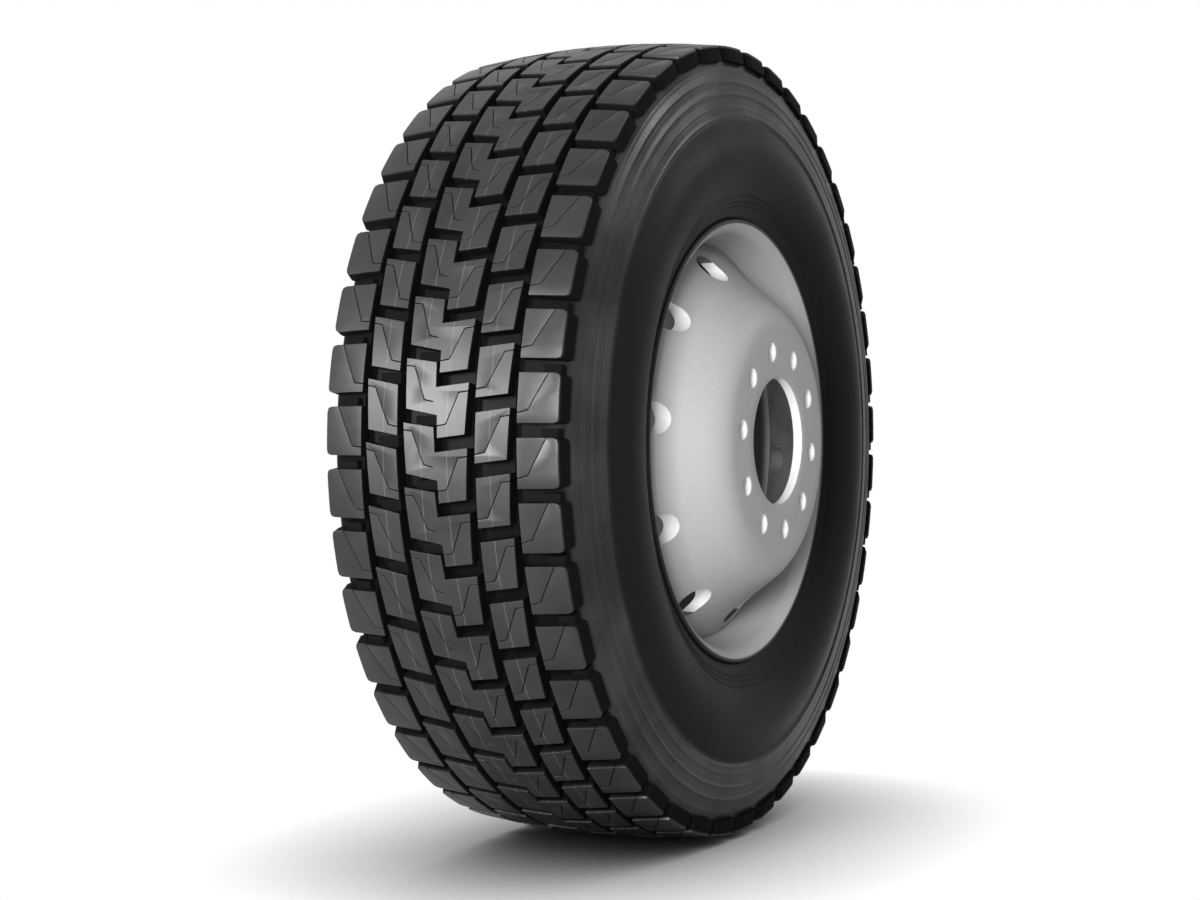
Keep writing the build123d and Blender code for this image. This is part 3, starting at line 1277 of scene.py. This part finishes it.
def add_light(name, place, target, size, power):
    """A square soft light at a place, aimed at a target."""
    bpy.ops.object.light_add(type="AREA", location=place)
    light = bpy.context.object
    light.name = name
    light.data.shape = "SQUARE"
    light.data.size = size
    light.data.energy = power
    light.visible_camera = False
    light.rotation_euler = (Vector(target) - Vector(place)).to_track_quat("-Z", "Y").to_euler()


def show_white(tree, lit, white, output):
    """Shows the white shader to camera, glossy and transmission rays, else the lit one."""
    path = tree.nodes.new("ShaderNodeLightPath")
    seen = add_math(tree, "MAXIMUM", path.outputs["Is Camera Ray"], path.outputs["Is Glossy Ray"])
    seen = add_math(tree, "MAXIMUM", seen, path.outputs["Is Transmission Ray"])
    mix = tree.nodes.new("ShaderNodeMixShader")
    tree.links.new(seen, mix.inputs["Fac"])
    tree.links.new(lit.outputs[0], mix.inputs[1])
    tree.links.new(white.outputs[0], mix.inputs[2])
    tree.links.new(mix.outputs[0], tree.nodes[output].inputs["Surface"])


class TRUCKTYRE_OT_stage(Operator):
    """Adds the floor, the soft lights, the white surroundings and the camera"""

    bl_idname = "truck_tyre.stage"
    bl_label = "Stage"

    def execute(self, context):
        stage = context.scene.stage_settings
        bpy.ops.object.select_all(action="DESELECT")
        middle = context.scene.wheel_settings.offset
        bpy.ops.mesh.primitive_plane_add(size=30, location=(0, middle, cad_box[0].z))
        floor = context.object
        floor.name = "floor"
        material = bpy.data.materials.new("floor_white")
        material.use_nodes = True
        tree = material.node_tree
        shader = tree.nodes["Principled BSDF"]
        shader.inputs["Base Color"].default_value = (*stage.floor_colour, 1.0)
        shader.inputs["Roughness"].default_value = 0.9
        shader.inputs["Specular IOR Level"].default_value = 0.0
        near = tree.nodes.new("ShaderNodeAmbientOcclusion")
        near.samples = 16
        near.inputs["Distance"].default_value = SHADOW_REACH
        shade = add_math(tree, "POWER", near.outputs["AO"], SHADOW_POWER)
        white = tree.nodes.new("ShaderNodeEmission")
        tree.links.new(shade, white.inputs["Strength"])
        show_white(tree, shader, white, "Material Output")
        floor.data.materials.append(material)

        add_light("key_light", (-2.6, 1.4, 0.45), (-0.5, 0.2, 0.0), 0.7, stage.key_power)
        add_light("fill_light", (-3.0, -0.75, 0.35), (0, 0.0, 0), 0.8, stage.fill_power)
        add_light("top_light", (0.0, -1.2, 2.4), (0, 0.1, 0.1), 1.0, stage.top_power)
        add_light("disc_light", (-1.9, -2.2, 0.35), (0, 0.05, 0), 0.6, stage.disc_power)
        add_light("rim_light", (1.7, -1.5, 1.3), (-0.1, 0.0, 0.35), 0.35, stage.rim_power)

        world = bpy.data.worlds.new("white_surroundings")
        context.scene.world = world
        world.use_nodes = True
        tree = world.node_tree
        even = tree.nodes["Background"]
        even.inputs["Color"].default_value = (1, 1, 1, 1)
        even.inputs["Strength"].default_value = stage.ambient
        white = tree.nodes.new("ShaderNodeBackground")
        white.inputs["Color"].default_value = (1, 1, 1, 1)
        show_white(tree, even, white, "World Output")

        bpy.ops.object.camera_add(location=stage.camera_place, rotation=stage.camera_turn)
        camera = context.object
        camera.name = "photo_camera"
        camera.data.lens = stage.lens
        camera.data.sensor_width = 36.0
        context.scene.camera = camera
        context.scene.view_settings.view_transform = "Standard"
        return {"FINISHED"}


class TRUCKTYRE_PT_panel(Panel):
    """Lists the pieces of the truck tyre and their settings"""

    bl_idname = "TRUCKTYRE_PT_panel"
    bl_label = "Truck Tyre"
    bl_space_type = "VIEW_3D"
    bl_region_type = "UI"
    bl_category = "Truck Tyre"

    def draw(self, context):
        for group, operators in (
            ("tyre_settings", ("truck_tyre.tyre",)),
            ("wheel_settings", ("truck_tyre.rim", "truck_tyre.wheel_disc")),
            ("valve_settings", ("truck_tyre.valve",)),
            ("stage_settings", ("truck_tyre.stage",)),
        ):
            settings = getattr(context.scene, group)
            column = self.layout.column(align=True)
            for name in settings.bl_rna.properties.keys():
                if name not in ("rna_type", "name"):
                    column.prop(settings, name)
            for operator in operators:
                column.operator(operator)


CLASSES = (
    TyreSettings,
    WheelSettings,
    ValveSettings,
    StageSettings,
    TRUCKTYRE_OT_tyre,
    TRUCKTYRE_OT_rim,
    TRUCKTYRE_OT_wheel_disc,
    TRUCKTYRE_OT_valve,
    TRUCKTYRE_OT_stage,
    TRUCKTYRE_PT_panel,
)


def register():
    for cls in CLASSES:
        bpy.utils.register_class(cls)
    bpy.types.Scene.tyre_settings = PointerProperty(type=TyreSettings)
    bpy.types.Scene.wheel_settings = PointerProperty(type=WheelSettings)
    bpy.types.Scene.valve_settings = PointerProperty(type=ValveSettings)
    bpy.types.Scene.stage_settings = PointerProperty(type=StageSettings)


def unregister():
    for name in ("tyre_settings", "wheel_settings", "valve_settings", "stage_settings"):
        delattr(bpy.types.Scene, name)
    for cls in reversed(CLASSES):
        bpy.utils.unregister_class(cls)


def main():
    """Registers the add-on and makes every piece."""
    register()
    bpy.ops.truck_tyre.tyre()
    bpy.ops.truck_tyre.rim()
    bpy.ops.truck_tyre.wheel_disc()
    bpy.ops.truck_tyre.valve()
    bpy.ops.truck_tyre.stage()


if __name__ == "__main__":
    main()
